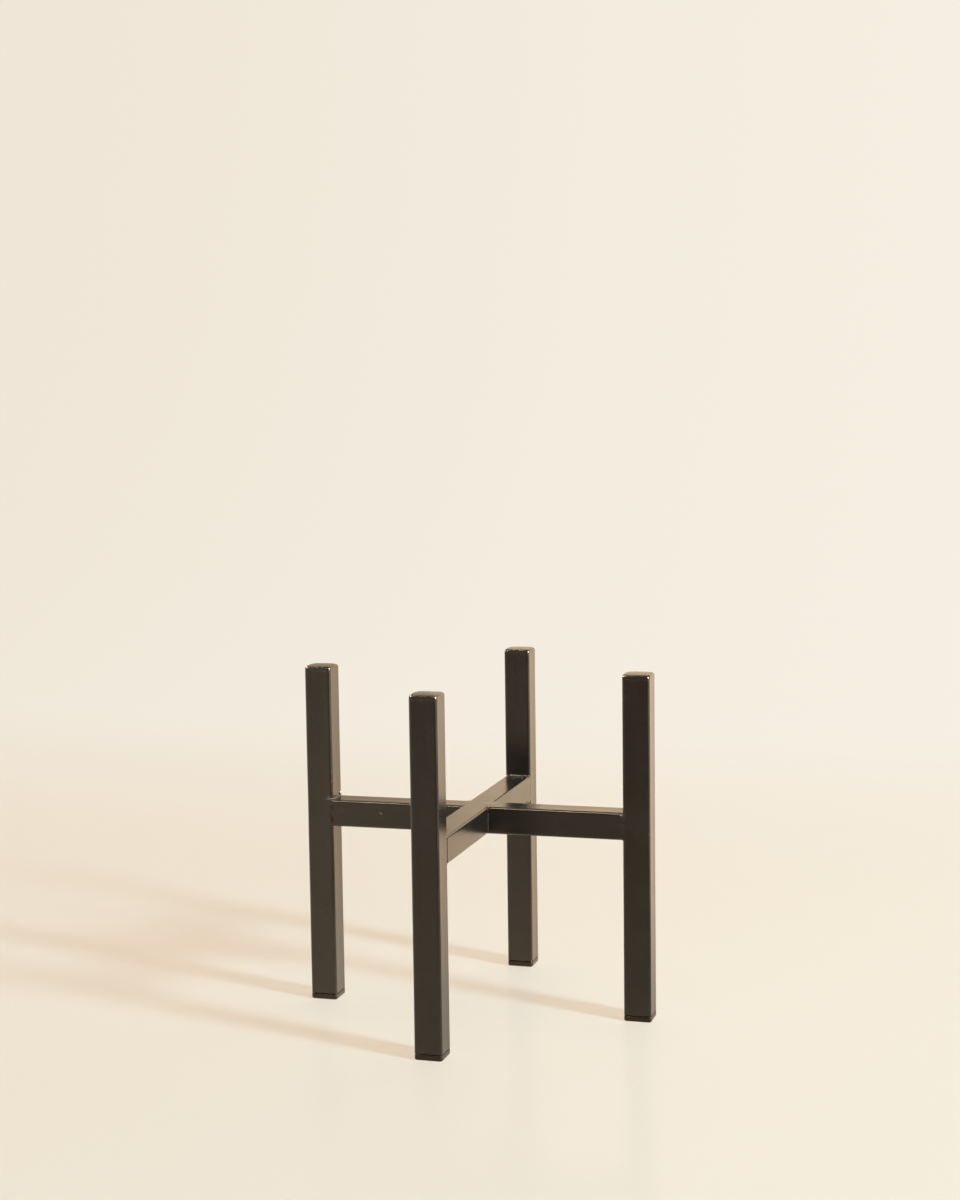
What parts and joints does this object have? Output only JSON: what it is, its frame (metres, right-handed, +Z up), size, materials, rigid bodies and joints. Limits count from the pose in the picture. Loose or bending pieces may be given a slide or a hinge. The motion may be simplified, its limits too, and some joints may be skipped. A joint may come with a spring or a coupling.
{
  "type": "plant stand",
  "caption": "Plant stand: upright square-tube legs welded to a level cross that carries a pot, with domed leg tops and plastic feet.",
  "frame": {"origin": "on the floor, under the middle of the cross", "axes": "+Z up, +X along the stub bars towards the right leg, +Y along the through bar towards the back leg"},
  "size_m": [0.26, 0.26, 0.2525],
  "materials": {
    "painted_steel": "semi-gloss black paint, smooth over dressed edges",
    "painted_weld": "semi-gloss black paint over rough weld beads",
    "foot_plastic": "black moulded plastic"
  },
  "bodies": {
    "root": {"leg_front": "painted_steel", "leg_back": "painted_steel", "leg_left": "painted_steel", "leg_right": "painted_steel", "cap_front": "painted_steel", "cap_back": "painted_steel", "cap_left": "painted_steel", "cap_right": "painted_steel", "through_bar": "painted_steel", "stub_bar_left": "painted_steel", "stub_bar_right": "painted_steel", "weld_front": "painted_weld", "weld_back": "painted_weld", "weld_left": "painted_weld", "weld_right": "painted_weld", "weld_centre_left": "painted_weld", "weld_centre_right": "painted_weld", "foot_front": "foot_plastic", "foot_back": "foot_plastic", "foot_left": "foot_plastic", "foot_right": "foot_plastic"}
  },
  "joints": []
}
